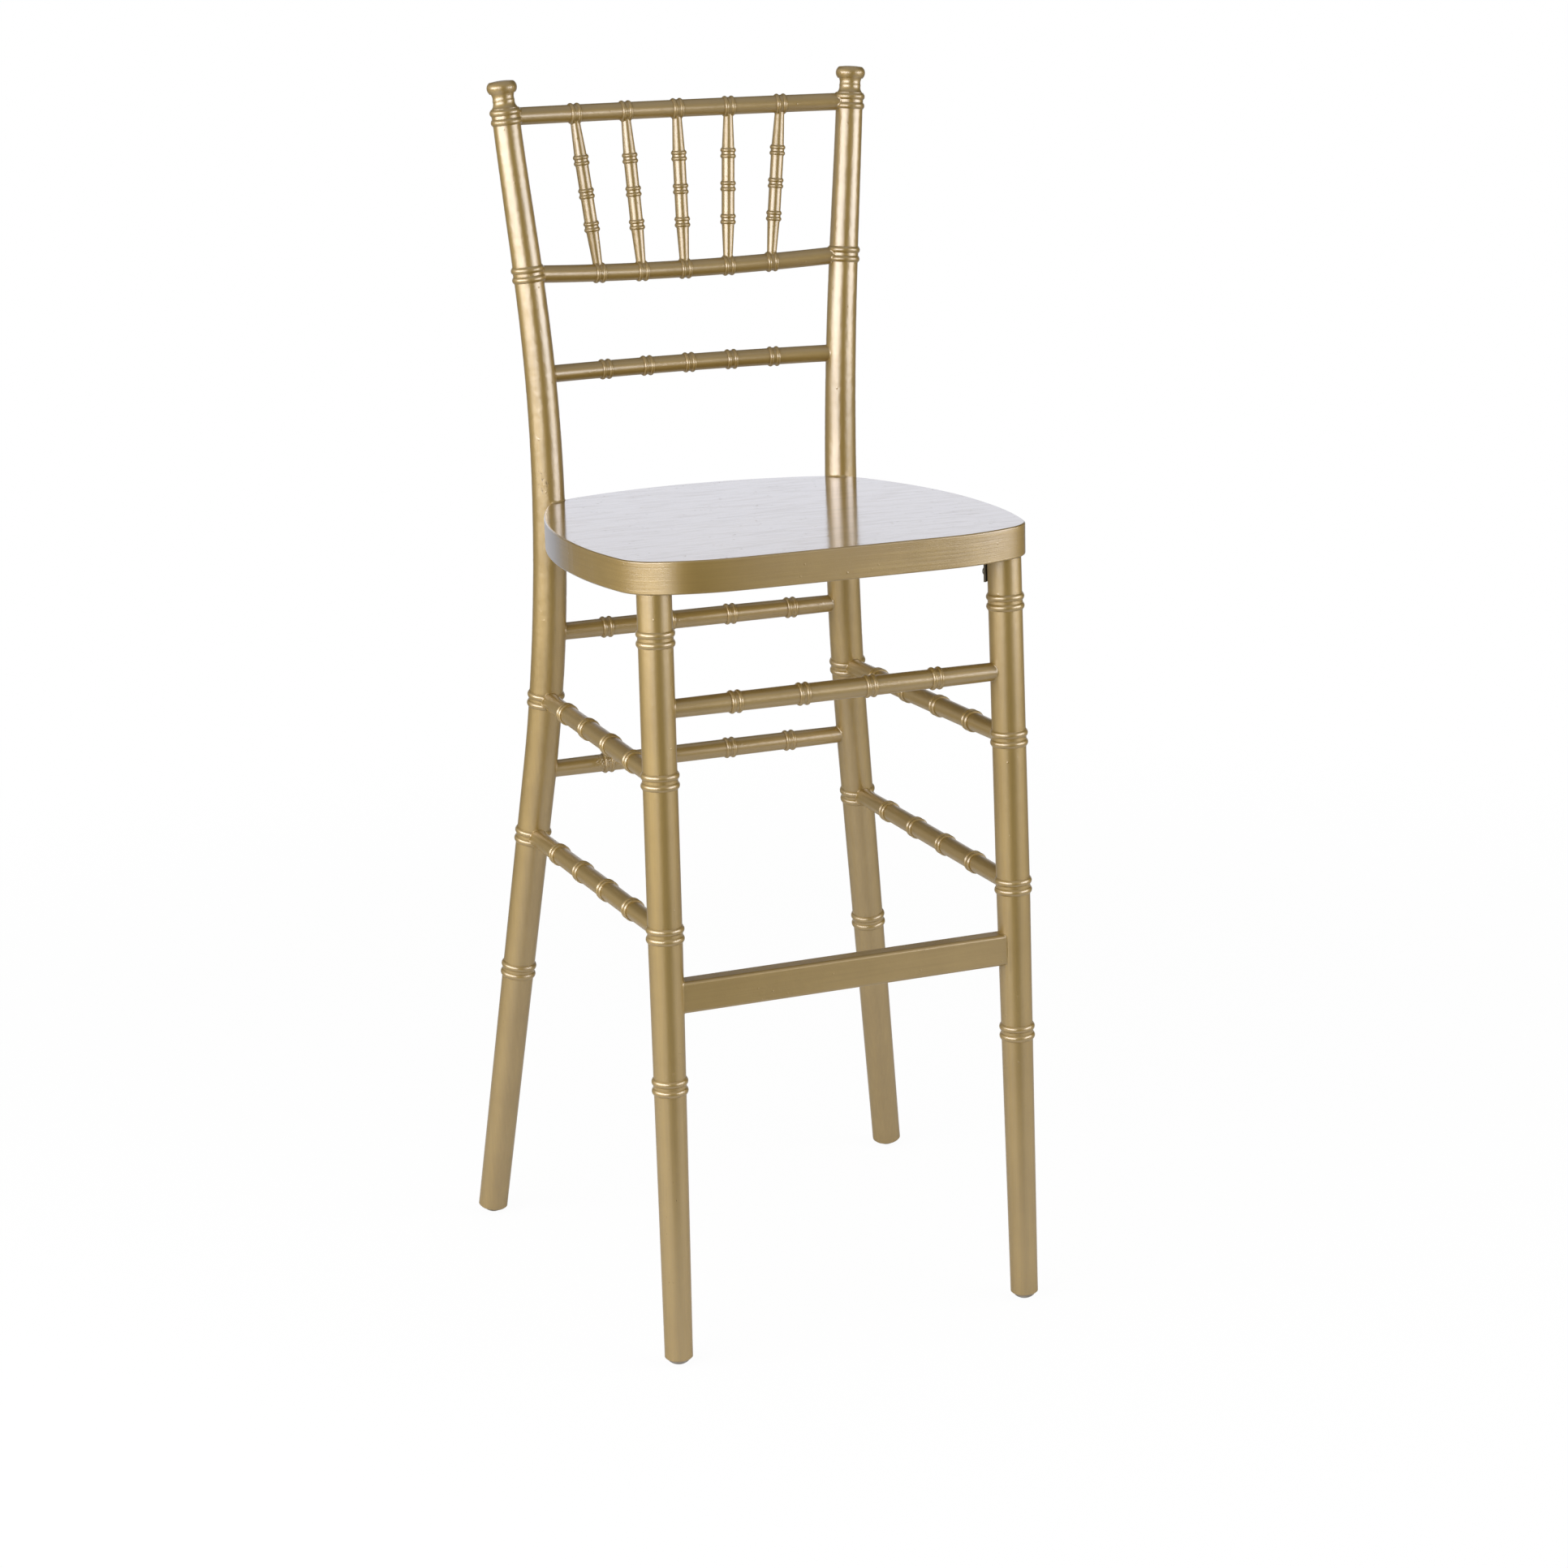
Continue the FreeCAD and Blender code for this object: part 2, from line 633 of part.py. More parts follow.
# Back rails are turned, then bent to one even bow, so each is a sweep of a circle about the bow's centre.
def make_back_rail(rail):
    body = new_body(rail.label)
    body.Placement = rail.placement
    section = circle_section(body, "RailSection", dim("rail_diameter") / 2, None, "YZ_Plane", rail.radius)
    sweep = body.newObject("PartDesign::Revolution", "RailSweep")
    sweep.Profile = section
    sweep.ReferenceAxis = (section, ["V_Axis"])
    sweep.Angle = 2 * degrees(rail.half_angle - val("tenon_end_gap") / rail.radius)
    sweep.Midplane = True
    step = degrees(rail.pitch / rail.radius)
    first = step * (rail.beads - 1) / 2
    place = Vector(rail.radius * sin(radians(first)), rail.radius * cos(radians(first)), 0)
    offset = Placement(place, Rotation(up, -90 - first))
    bead = bead_pair(body, "RailBead", dim("rail_diameter") / 2, "rail", offset, "XY_Plane")
    pattern = body.newObject("PartDesign::PolarPattern", "RailBeads")
    pattern.Originals = [bead]
    pattern.Axis = (datum(body, "Z_Axis"), [""])
    pattern.Angle = step * (rail.beads - 1)
    pattern.Occurrences = rail.beads
    body.Tip = pattern
    bore = dim("spindle_end_diameter") / 2 + dim("joint_clearance")
    for place in spindle_places:
        top, bottom = spindle_ends(place)
        if rail is top_rail:
            drill(body, "SpindleHole", bore, dim("rail_diameter"), top, bottom - top)
        if rail is middle_rail:
            drill(body, "SpindleHole", bore, dim("rail_diameter"), bottom, top - bottom)
    return body


# A straight turned bar between two joints, with evenly spaced bead pairs.
def turned_bar(label, start, stop, corners, bends, radius, kind, pitch, count):
    length = (stop - start).Length
    body = new_body(label)
    body.Placement = Placement(start, Rotation(up, stop - start))
    revolve(body, closed_outline(new_sketch(body, "BarOutline"), corners, bends), "BarTurning")
    spread = pitch * (count - 1)
    offset = Placement(Vector(0, (length - spread.value) / 2, 0), Rotation())
    bead = bead_pair(body, "BarBead", radius, kind, offset)
    pattern = body.newObject("PartDesign::LinearPattern", "BarBeads")
    pattern.Originals = [bead]
    pattern.Direction = (datum(body, "Z_Axis"), [""])
    pattern.Length = spread.value
    bind(pattern, "Length", spread)
    pattern.Occurrences = count
    body.Tip = pattern
    return body


def make_stretcher(label, ends, pitch):
    start, stop = ends
    along = (stop - start).normalize()
    start, stop = start + along * val("tenon_end_gap"), stop - along * val("tenon_end_gap")
    length = (stop - start).Length
    end, middle = dim("stretcher_end_diameter") / 2, dim("stretcher_middle_diameter") / 2
    swell = middle.value - end.value
    barrel = (length ** 2 / 4 + swell ** 2) / (2 * swell)
    corners = [(0, 0), (end, 0), (end, length), (0, length)]
    return turned_bar(label, start, stop, corners, {1: (barrel, -1)}, middle, "rail", dim(pitch), 4)


def make_spindle(place):
    start, stop = reversed(spindle_ends(place))
    along = (stop - start).normalize()
    start, stop = start + along * val("tenon_end_gap"), stop - along * val("tenon_end_gap")
    length = (stop - start).Length
    end, body = dim("spindle_end_diameter") / 2, dim("spindle_diameter") / 2
    pitch = dim("spindle_ring_pitch")
    tenon = dim("rail_diameter") / 2
    middle = as_dim(length / 2)
    corners = [(0, 0), (end, 0), (end, tenon), (body, middle - pitch), (body, middle + pitch),
               (end, as_dim(length) - tenon), (end, length), (0, length)]
    label = f"spindle_{spindle_places.index(place) + 1}"
    return turned_bar(label, start, stop, corners, {}, body, "spindle", pitch, 3)


def make_foot_rail():
    left, right = front_ends(val("foot_rail_z"))
    body = new_body("foot_rail")
    body.Placement = Placement((left + right) / 2, Rotation())
    sketch = new_sketch(body, "FootRailOutline", "YZ_Plane")
    rounded_rectangle(sketch, dim("foot_rail_depth"), dim("foot_rail_height"), dim("foot_rail_round"))
    pad = body.newObject("PartDesign::Pad", "FootRail")
    pad.Profile = sketch
    pad.Length = (right - left).Length - 2 * val("foot_rail_inset")
    pad.Midplane = True
    return body


# Nail-on glide: a shallow dome under the foot with a pin driven into the leg.
def make_glide(label, line):
    body = new_body(label)
    body.Placement = Placement(line.base, Rotation(up, line.low))
    radius, height, dome = dim("glide_diameter") / 2, dim("glide_height"), dim("glide_dome_radius")
    drop = val("glide_dome_radius") - sqrt(val("glide_dome_radius") ** 2 - (val("glide_diameter") / 2) ** 2)
    nail, length = dim("glide_pin_diameter") / 2, dim("glide_pin_length")
    corners = [(0, -height), (radius, as_dim(drop) - height), (radius, 0),
               (nail, 0), (nail, length), (0, length)]
    revolve(body, closed_outline(new_sketch(body, "GlideOutline"), corners, {0: (dome, -1)}), "Glide")
    return body


# Angle bracket behind each front leg, bent from strip, one flange on the leg and one under the seat.
def bracket_frame(side):
    inward = Vector(-side, 1, 0).normalize()
    line = fronts[side]
    return line.joint(under_seat), inward, line.joint(under_seat - val("bracket_leg_height"))


def bracket_stand_off():
    return val("front_leg_diameter") / 2 + val("seat_gap")


def bracket_start(side):
    head, inward, low = bracket_frame(side)
    lean = max((low - head).dot(inward), 0)
    return head + inward * (bracket_stand_off() + lean), inward


def leg_screw(side):
    start, inward = bracket_start(side)
    place = start + inward * val("bracket_thickness") - up * val("bracket_leg_screw_drop")
    return place, -inward


def seat_flange_screw(side):
    start, inward = bracket_start(side)
    place = start + inward * val("bracket_seat_screw_reach") - up * val("bracket_thickness")
    return place, up


def screw_bore():
    return dim("screw_shank_diameter") / 2 + dim("joint_clearance")


def make_bracket(side):
    start, inward = bracket_start(side)
    body = new_body("front_bracket_" + side_name[side])
    body.Placement = Placement(start, Rotation(inward, up.cross(inward), up, "ZXY"))
    thick, tall, deep = dim("bracket_thickness"), dim("bracket_leg_height"), dim("bracket_seat_length")
    corners = [(0, -tall), (thick, -tall), (thick, -thick), (deep, -thick), (deep, 0), (0, 0)]
    sketch = closed_outline(new_sketch(body, "BracketOutline"), corners)
    pad = body.newObject("PartDesign::Pad", "Bracket")
    pad.Profile = sketch
    pad.Length = val("bracket_width")
    bind(pad, "Length", dim("bracket_width"))
    pad.Midplane = True
    for place, direction in (leg_screw(side), seat_flange_screw(side)):
        drill(body, "ScrewHole", screw_bore(), dim("bracket_thickness") * 3, place - direction, direction)
    return body


# A screw points along its own +Z, with its head's underside at the origin.
def make_screw(name, place, direction, head, rise, shank, length):
    body = new_body(name)
    body.Placement = Placement(place, Rotation(up, direction))
    crown = dim("screw_head_crown")
    corners = [(0, -rise), (head - crown, -rise), (head, crown - rise), (head, 0),
               (shank, 0), (shank, length - shank), (0, length)]
    revolve(body, closed_outline(new_sketch(body, "ScrewOutline"), corners), "Screw")
    return body


def make_screw_group(label, screws):
    group = doc.addObject("Part::Compound", label)
    group.Label = label
    group.Links = screws
    return group


def make_bracket_screws():
    head, rise = dim("screw_head_diameter") / 2, dim("screw_head_height")
    shank, length = dim("screw_shank_diameter") / 2, dim("screw_length") - dim("tenon_end_gap")
    screws = []
    for side in (-1, 1):
        for place, direction in (leg_screw(side), seat_flange_screw(side)):
            screws.append(make_screw("BracketScrew", place, direction, head, rise, shank, length))
    return make_screw_group("bracket_screws", screws)


# Each seat screw runs from a sunk hole behind the post, through the slot, into the seat's corner.
def seat_screw_head(side):
    axis, inward, floor = slot_frame(side)
    depth = floor + val("slot_depth") - val("seat_screw_head_height") - val("seat_screw_sink")
    return axis - inward * depth


def make_seat_screws():
    head, rise = dim("seat_screw_head_diameter") / 2, dim("seat_screw_head_height")
    shank, length = dim("seat_screw_diameter") / 2, dim("seat_screw_length")
    screws = [make_screw("SeatScrew", seat_screw_head(side), slot_frame(side)[1], head, rise, shank, length)
              for side in (-1, 1)]
    return make_screw_group("seat_screws", screws)


nodes = [make_seat(), make_foot_rail(), make_bracket_screws(), make_seat_screws()]
nodes += [make_back_rail(rail) for rail in back_rails]
nodes += [make_spindle(place) for place in spindle_places]
nodes += [make_stretcher("rear_stretcher_upper", rail_ends(val("rear_upper_z")), "cross_bead_pitch"),
          make_stretcher("rear_stretcher_lower", rail_ends(val("rear_lower_z")), "cross_bead_pitch"),
          make_stretcher("front_stretcher", front_ends(val("front_stretcher_z")), "cross_bead_pitch")]
for side, name in side_name.items():
    for level in ("upper", "lower"):
        ends = side_ends(side, val(f"side_{level}_z"))
        nodes.append(make_stretcher(f"side_stretcher_{name}_{level}", ends, "side_bead_pitch"))
    nodes += [make_rear_post(side), make_front_leg(side), make_bracket(side),
              make_glide(f"floor_glide_rear_{name}", lines[side]),
              make_glide(f"floor_glide_front_{name}", fronts[side])]
doc.recompute()

# Every object is sound before a file is written.
for item in doc.Objects:
    if "Invalid" in item.State or "Error" in item.State:
        raise RuntimeError(f"{item.Label} failed: {item.State}")
os.makedirs("parts", exist_ok=True)
for node in nodes:
    if node.Shape.isNull() or not node.Shape.isValid() or node.Shape.Volume <= 0:
        raise RuntimeError(f"{node.Label} has no sound shape")
for node in nodes:
    node.Shape.exportStep(f"parts/{node.Label}.step")
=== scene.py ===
import math

import bmesh
import bpy
from mathutils import Matrix, Vector, noise
from mathutils.bvhtree import BVHTree


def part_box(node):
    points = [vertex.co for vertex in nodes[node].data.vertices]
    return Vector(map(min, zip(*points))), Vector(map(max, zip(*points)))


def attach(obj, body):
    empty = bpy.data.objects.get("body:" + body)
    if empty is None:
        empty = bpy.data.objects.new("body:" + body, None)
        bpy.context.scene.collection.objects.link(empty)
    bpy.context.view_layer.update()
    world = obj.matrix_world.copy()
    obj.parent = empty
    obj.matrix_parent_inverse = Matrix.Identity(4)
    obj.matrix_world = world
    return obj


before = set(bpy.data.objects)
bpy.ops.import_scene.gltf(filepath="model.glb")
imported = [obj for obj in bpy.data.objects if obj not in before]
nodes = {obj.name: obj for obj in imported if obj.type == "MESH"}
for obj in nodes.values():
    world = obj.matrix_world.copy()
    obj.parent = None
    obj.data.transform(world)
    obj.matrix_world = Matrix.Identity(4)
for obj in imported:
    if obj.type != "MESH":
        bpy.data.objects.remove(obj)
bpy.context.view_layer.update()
print("stage: frame loaded,", len(nodes), "pieces")


class Wire:  # a node's output socket that can be used in sums
    def __init__(self, bench, socket):
        self.bench = bench
        self.socket = socket

    def sum(self, operation, first, second):
        return self.bench.node("Math", {"operation": operation}, {0: first, 1: second})

    def __add__(self, other):
        return self.sum("ADD", self, other)

    def __sub__(self, other):
        return self.sum("SUBTRACT", self, other)

    def __rsub__(self, other):
        return self.sum("SUBTRACT", other, self)

    def __mul__(self, other):
        return self.sum("MULTIPLY", self, other)

    def __truediv__(self, other):
        return self.sum("DIVIDE", self, other)

    __radd__ = __add__
    __rmul__ = __mul__


class Bench:  # one material's or the world's node tree
    def __init__(self, owner):
        owner.use_nodes = True
        self.owner = owner
        self.tree = owner.node_tree
        self.tree.nodes.clear()

    def node(self, kind, settings=None, inputs=None, output=0):
        made = self.tree.nodes.new("ShaderNode" + kind)
        for key, value in (settings or {}).items():
            setattr(made, key, value)
        for key, value in (inputs or {}).items():
            if isinstance(value, Wire):
                self.tree.links.new(value.socket, made.inputs[key])
            else:
                made.inputs[key].default_value = value
        return Wire(self, made.outputs[output]) if len(made.outputs) else None

    def blend(self, factor, first, second):  # colours
        return self.node("Mix", {"data_type": "RGBA"}, {0: factor, 6: first, 7: second}, 2)

    def vector(self, operation, first, second=(0, 0, 0), output="Vector"):
        return self.node("VectorMath", {"operation": operation}, {0: first, 1: second}, output)

    def scaled(self, vector, amount):
        return self.node("VectorMath", {"operation": "SCALE"}, {0: vector, "Scale": amount})

    def axis(self, vector, letter):
        return self.node("SeparateXYZ", {}, {0: vector}, letter)

    def noise(self, place, scale, detail=3.0, roughness=0.55):
        return self.node("TexNoise", {}, {
            "Vector": place, "Scale": scale, "Detail": detail, "Roughness": roughness})

    def grain(self, place, stretch, detail, roughness=0.55):  # noise drawn out along the axes
        drawn = self.node("Mapping", {}, {"Vector": place, "Scale": stretch})
        return self.noise(drawn, 1.0, detail, roughness)

    def ramp(self, value, low, high, toLow=0.0, toHigh=1.0):  # smooth step between two levels
        return self.node("MapRange", {"interpolation_type": "SMOOTHSTEP"}, {
            "Value": value, "From Min": low, "From Max": high, "To Min": toLow, "To Max": toHigh})


# Gold paint over turned wood
goldLook = {
    "gold": (0.385, 0.262, 0.078, 1),
    "deepGold": (0.34, 0.229, 0.064, 1),
    "cloudScale": 14.0,
    "crevice": (0.19, 0.125, 0.042, 1),  # painted shade in grooves and at joints
    "creviceReach": 0.005,
    "creviceRange": (0.5, 0.95),
    "creviceDull": 0.45,  # share of the gloss taken away there, as painted shade
    "chip": (0.10, 0.07, 0.035, 1),
    "chipStretch": (420, 420, 190),
    "chipDepth": 0.0001,
    "chipped": (),  # places with small chips: point, reach
    "metal": 0.88,  # the rest is body colour
    "roughness": 0.59,
    "lacquer": (0.95, 0.95, 1.0, 1),  # clear gloss over the gold
    "lacquerRoughness": 0.34,
    "lacquerShare": (0.13, 0.45),  # seen head on and at a grazing angle
    "lacquerEdge": (0.6, 1.0),  # where the share starts to rise and is full
    "lumps": 0.00012,
    "lumpScale": 160.0,
    "peel": 0.000012,
    "peelScale": 900.0,
    "nibs": 0.00016,
    "nibScale": 130.0,
    "streaks": 0.00005,
    "rough": (),  # places with runs and drips under the gold: point, reach
    "runStretch": (260, 170, 420),
    "runDepth": 0.0016,
}

# Level top of the seat, polished smooth
topLook = {
    "rise": (0.80, 0.97),  # how upright a face is where the polish starts and is full
    "lacquer": (0.90, 0.91, 0.985, 1),
    "lacquerRoughness": 0.12,
    "lacquerShare": (0.07, 0.9),
    "lacquerEdge": (0.5, 0.95),
    "streakStretch": (22, 105, 1),
    "streakDepth": 0.10,
    "scuffs": (  # middle, then length and width
        ((-0.178, -0.179), (0.006, 0.004)),
        ((0.181, -0.001), (0.007, 0.009)),
        ((0.163, -0.141), (0.020, 0.006)),
    ),
    "scuffStretch": (240, 700, 1),
    "scuffDepth": 0.22,
}

# Front corners of the seat, where the light turns without a break
cornerLook = {
    "middle": (0.0, -0.03, 0.0),
    "half": 0.210,  # from the middle to the flanks and the front
    "lead": (0.72, 1.2),  # left and right: under 1 the turn comes nearer to the front
    "range": (-0.10, -0.15),  # y where the smoothing starts and is full
}


def nearTo(bench, place, spots):  # 1 at each listed point, 0 beyond its reach
    mask = 0
    for point, reach in spots:
        apart = bench.vector("DISTANCE", place, point, "Value")
        mask = mask + bench.ramp(apart, reach, reach * 0.4)
    return mask


def topPolish(bench, place, normal, facing, clear, gloss):
    rise = bench.axis(bench.node("NewGeometry", output="Normal"), "Z")
    level = bench.ramp(rise, *topLook["rise"])
    grain = bench.grain(place, topLook["streakStretch"], 5.0, 0.62)
    dull = bench.ramp(grain, 0.42, 0.72) * topLook["streakDepth"]
    scratches = bench.ramp(bench.grain(place, topLook["scuffStretch"], 3.0, 0.6), 0.48, 0.62)
    for (x, y), (long, wide) in topLook["scuffs"]:
        spot = bench.node("Mapping", {}, {
            "Vector": place, "Location": (-x / long, -y / wide, 0),
            "Scale": (1 / long, 1 / wide, 0)})
        apart = bench.vector("LENGTH", spot, output="Value")
        dull = dull + bench.ramp(apart, 1.0, 0.3) * scratches * topLook["scuffDepth"]
    sheen = bench.ramp(facing, *topLook["lacquerEdge"], *topLook["lacquerShare"])
    polish = bench.node("BsdfAnisotropic", {}, {
        "Color": topLook["lacquer"], "Roughness": topLook["lacquerRoughness"], "Normal": normal})
    gloss = level * sheen * (1 - dull) + (1 - level) * gloss
    return bench.node("MixShader", {}, {0: level, 1: clear, 2: polish}), gloss


def evenCorners(bench, place):
    own = bench.node("NewGeometry", output="Normal")
    flat = bench.vector("MULTIPLY", own, (1, 1, 0))
    spot = bench.vector("SUBTRACT", place, cornerLook["middle"])
    across = bench.axis(spot, "X") / cornerLook["half"]
    along = bench.axis(spot, "Y") / cornerLook["half"]
    lead = bench.ramp(across, -0.2, 0.2, *cornerLook["lead"])
    turned = bench.node("CombineXYZ", {}, {
        "X": across * across * across * across * across,
        "Y": along * along * along * along * along * lead})
    length = bench.vector("LENGTH", flat, output="Value")
    turned = bench.scaled(bench.vector("NORMALIZE", turned), length)
    front = bench.ramp(bench.axis(place, "Y"), *cornerLook["range"])
    change = bench.scaled(bench.vector("SUBTRACT", turned, flat), front)
    return bench.vector("NORMALIZE", bench.vector("ADD", own, change))


def goldPaint(name, grain, changes=None, polished=False):
    look = {**goldLook, **(changes or {})}
    bench = Bench(bpy.data.materials.new(name))
    place = bench.node("TexCoord", output="Object")
    streaks = bench.grain(place, grain, 5.0, 0.6)
    lumps = bench.noise(place, look["lumpScale"], 2.0)
    peel = bench.noise(place, look["peelScale"], 2.0)
    clouds = bench.noise(place, look["cloudScale"], 3.0)
    dust = bench.node("TexVoronoi", {}, {"Vector": place, "Scale": look["nibScale"]})
    few = bench.ramp(bench.noise(place, 60.0, 1.0), 0.52, 0.60)
    nibs = bench.ramp(dust, 0.17, 0.02) * few
    scars = bench.grain(place, look["chipStretch"], 4.0, 0.7)
    worn = bench.ramp(bench.noise(place, 7.0, 1.0), 0.60, 0.66)
    chips = bench.ramp(scars, 0.70, 0.72) * worn
    if look["chipped"]:
        chips = chips + bench.ramp(scars, 0.56, 0.66) * nearTo(bench, place, look["chipped"]) * 0.6
    # Painted shade: ambient occlusion darkens the colour of grooves and joints and takes gloss
    # from them
    reach = {"Distance": look["creviceReach"]}
    hollow = 1 - bench.node("AmbientOcclusion", {"samples": 6}, reach, "AO")

    tone = bench.ramp(clouds * 0.6 + streaks * 0.4, 0.35, 0.65)
    colour = bench.blend(tone, look["deepGold"], look["gold"])
    paintedShade = bench.ramp(hollow, *look["creviceRange"])
    colour = bench.blend(paintedShade, colour, look["crevice"])
    colour = bench.blend(chips, colour, look["chip"])

    height = lumps * look["lumps"] + peel * look["peel"]
    height = height + streaks * look["streaks"] + nibs * look["nibs"]
    if look["rough"]:
        runs = bench.grain(place, look["runStretch"], 2.0)
        height = height + runs * nearTo(bench, place, look["rough"]) * look["runDepth"]
    height = height - chips * look["chipDepth"]
    bumps = {"Strength": 1.0, "Distance": 1.0, "Height": height}
    if polished:
        bumps["Normal"] = evenCorners(bench, place)
    normal = bench.node("Bump", {}, bumps)

    shine = look["roughness"] + (peel - 0.5) * 0.10 - (tone - 0.5) * 0.06 + chips * 0.2
    paint = bench.node("BsdfPrincipled", {}, {
        "Base Color": colour, "Metallic": look["metal"], "Roughness": shine, "Normal": normal,
        "Specular IOR Level": 0.0})
    facing = bench.node("LayerWeight", {}, {"Blend": 0.5, "Normal": normal}, "Facing")
    gloss = bench.ramp(facing, *look["lacquerEdge"], *look["lacquerShare"])
    clear = bench.node("BsdfAnisotropic", {"distribution": "BECKMANN"}, {
        "Color": look["lacquer"], "Roughness": look["lacquerRoughness"], "Normal": normal})
    if polished:
        clear, gloss = topPolish(bench, place, normal, facing, clear, gloss)
    # Chips lose their gloss; the hollows lose gloss as painted shade
    gloss = gloss * (1 - chips) * (1 - hollow * look["creviceDull"])
    surface = bench.node("MixShader", {}, {0: gloss, 1: paint, 2: clear})
    bench.node("OutputMaterial", {}, {"Surface": surface})
    return bench.owner


uprightGold = goldPaint("gold_upright", (420, 420, 14), {
    "chipped": (((-0.1655, 0.1300, 0.7835), 0.016),)})  # left rear post, over the seat
crossGold = goldPaint("gold_cross", (14, 420, 420), {
    "rough": (((-0.104, 0.156, 0.492), 0.015),)})  # lower rear stretcher, near its left end
sideGold = goldPaint("gold_side", (420, 14, 420))
seatGold = goldPaint("gold_seat", (9, 9, 520), {
    "deepGold": (0.32, 0.213, 0.059, 1), "lumps": 0.00003, "streaks": 0.00012,
    "lacquerShare": (0.13, 0.9), "lacquerEdge": (0.64, 0.84)}, polished=True)

# Small metal parts
steelLook = {
    "glide": ((0.36, 0.33, 0.29), 0.35),  # colour, roughness
    "screw": ((0.22, 0.21, 0.19), 0.38),
    "bracket": ((0.10, 0.085, 0.06), 0.45),
    "stainScale": 120.0,
    "stainShade": 0.55,
    "scuffScale": 700.0,
    "scuffDepth": 0.00002,
    "scuffShine": 0.3,
}


def plainMetal(part):
    colour, roughness = steelLook[part]
    bench = Bench(bpy.data.materials.new(part + "_steel"))
    place = bench.node("TexCoord", output="Object")
    scuffs = bench.noise(place, steelLook["scuffScale"], 4.0, 0.65)
    stains = bench.ramp(bench.noise(place, steelLook["stainScale"], 3.0), 0.4, 0.7)
    dark = tuple(steelLook["stainShade"] * share for share in colour)
    shade = bench.blend(stains, colour + (1,), dark + (1,))
    height = scuffs * steelLook["scuffDepth"]
    normal = bench.node("Bump", {}, {"Strength": 1.0, "Distance": 1.0, "Height": height})
    shine = roughness + (scuffs - 0.5) * steelLook["scuffShine"]
    metal = bench.node("BsdfPrincipled", {}, {
        "Base Color": shade, "Metallic": 1.0, "Roughness": shine, "Normal": normal})
    bench.node("OutputMaterial", {}, {"Surface": metal})
    return bench.owner


glideSteel = plainMetal("glide")
screwSteel = plainMetal("screw")
bracketSteel = plainMetal("bracket")

finishes = {
    "rear_post": uprightGold,
    "front_leg": uprightGold,
    "spindle": uprightGold,
    "seat_panel": seatGold,
    "side_stretcher": sideGold,
    "floor_glide": glideSteel,
    "front_bracket": bracketSteel,
    "bracket_screws": screwSteel,
    "seat_screws": screwSteel,
}
for name, piece in nodes.items():
    finish = next((item for start, item in finishes.items() if name.startswith(start)), crossGold)
    piece.data.materials.clear()
    piece.data.materials.append(finish)
print("stage: finishes on")

# Paint that gathered in the joints
jointPaint = {
    "reach": 0.0011,
    "lumps": 0.7,
    "lumpScale": 230.0,
    "sunk": 0.00025,  # into the wood, so that no gap shows
    "rimGap": 0.0004,  # from a hole's rim to the piece in it
    "rimBreak": 0.006,  # longest missing bit of a rim
    "rimPoints": 9,  # fewest points in a rim
    "sharp": 35.0,
    "probe": 0.0005,  # off a piece, where the wood round it is read
    "points": 56,
    "steps": 4,
}

# Bead of paint that closes the slot where a rear post stands over the seat
postPaint = {
    "slotGap": 0.0012,  # above the seat, in the posts' slots
    "slotDepth": 0.002,
    "slotRise": 0.0004,
    "level": 0.003,  # over the seat, where a post's outline is read
    "lines": (0.10, 0.0005, 200),  # first y across a post, spacing, count
    "turns": 180,
    "clear": 0.05,  # outside any post
    "probe": 0.0015,  # off the post, where the seat is looked for
    "drop": 0.006,
    "taper": 0.2,  # growth at each step from the bead's ends
}


def treeOf(piece):
    corners = [corner.co for corner in piece.data.vertices]
    return BVHTree.FromPolygons(corners, [face.vertices for face in piece.data.polygons])


def sharpRims(piece):  # outward edges, as pairs of points
    work = bmesh.new()
    work.from_mesh(piece.data)
    bmesh.ops.remove_doubles(work, verts=work.verts, dist=1e-6)
    limit = math.radians(jointPaint["sharp"])
    whole = [edge for edge in work.edges if len(edge.link_faces) == 2]
    crisp = [edge for edge in whole if edge.calc_face_angle_signed() > limit]
    pairs = [tuple(corner.co.copy().freeze() for corner in edge.verts) for edge in crisp]
    work.free()
    return pairs


def follow(path, nextTo, used):  # lengthens a path from its end as far as it goes
    ways = path
    while ways:
        ways = [point for point in nextTo[path[-1]] if point not in used][:1]
        path += ways
        used.update(ways)


def closedLoops(pairs):
    nextTo = {}
    for first, second in pairs:
        nextTo.setdefault(first, []).append(second)
        nextTo.setdefault(second, []).append(first)
    loops, used = [], set()
    for start in nextTo:
        if start in used:
            continue
        used.add(start)
        path = [start]
        for turn in range(2):  # onwards, then back past the start
            follow(path, nextTo, used)
            path.reverse()
        joined = path[0] in nextTo[path[-1]]
        joined = joined or (path[0] - path[-1]).length < jointPaint["rimBreak"]
        if joined and len(path) >= jointPaint["rimPoints"]:
            loops.append(path)
    return loops


def evenly(path, count):  # points at equal steps round a closed path
    ends = path[1:] + path[:1]
    lengths = [(end - start).length for start, end in zip(path, ends)]
    points, at, done = [], 0, 0.0
    for number in range(count):
        target = sum(lengths) * number / count
        while done + lengths[at] < target:
            done += lengths[at]
            at += 1
        points.append(path[at].lerp(ends[at], (target - done) / lengths[at]))
    return points


def gather(point):  # how far the paint reaches here
    lump = noise.noise(point * jointPaint["lumpScale"])
    return jointPaint["reach"] * (1 + jointPaint["lumps"] * lump)


def coveTurns():  # a quarter turn in equal steps
    steps = jointPaint["steps"]
    return [math.pi / 2 * step / steps for step in range(steps + 1)]


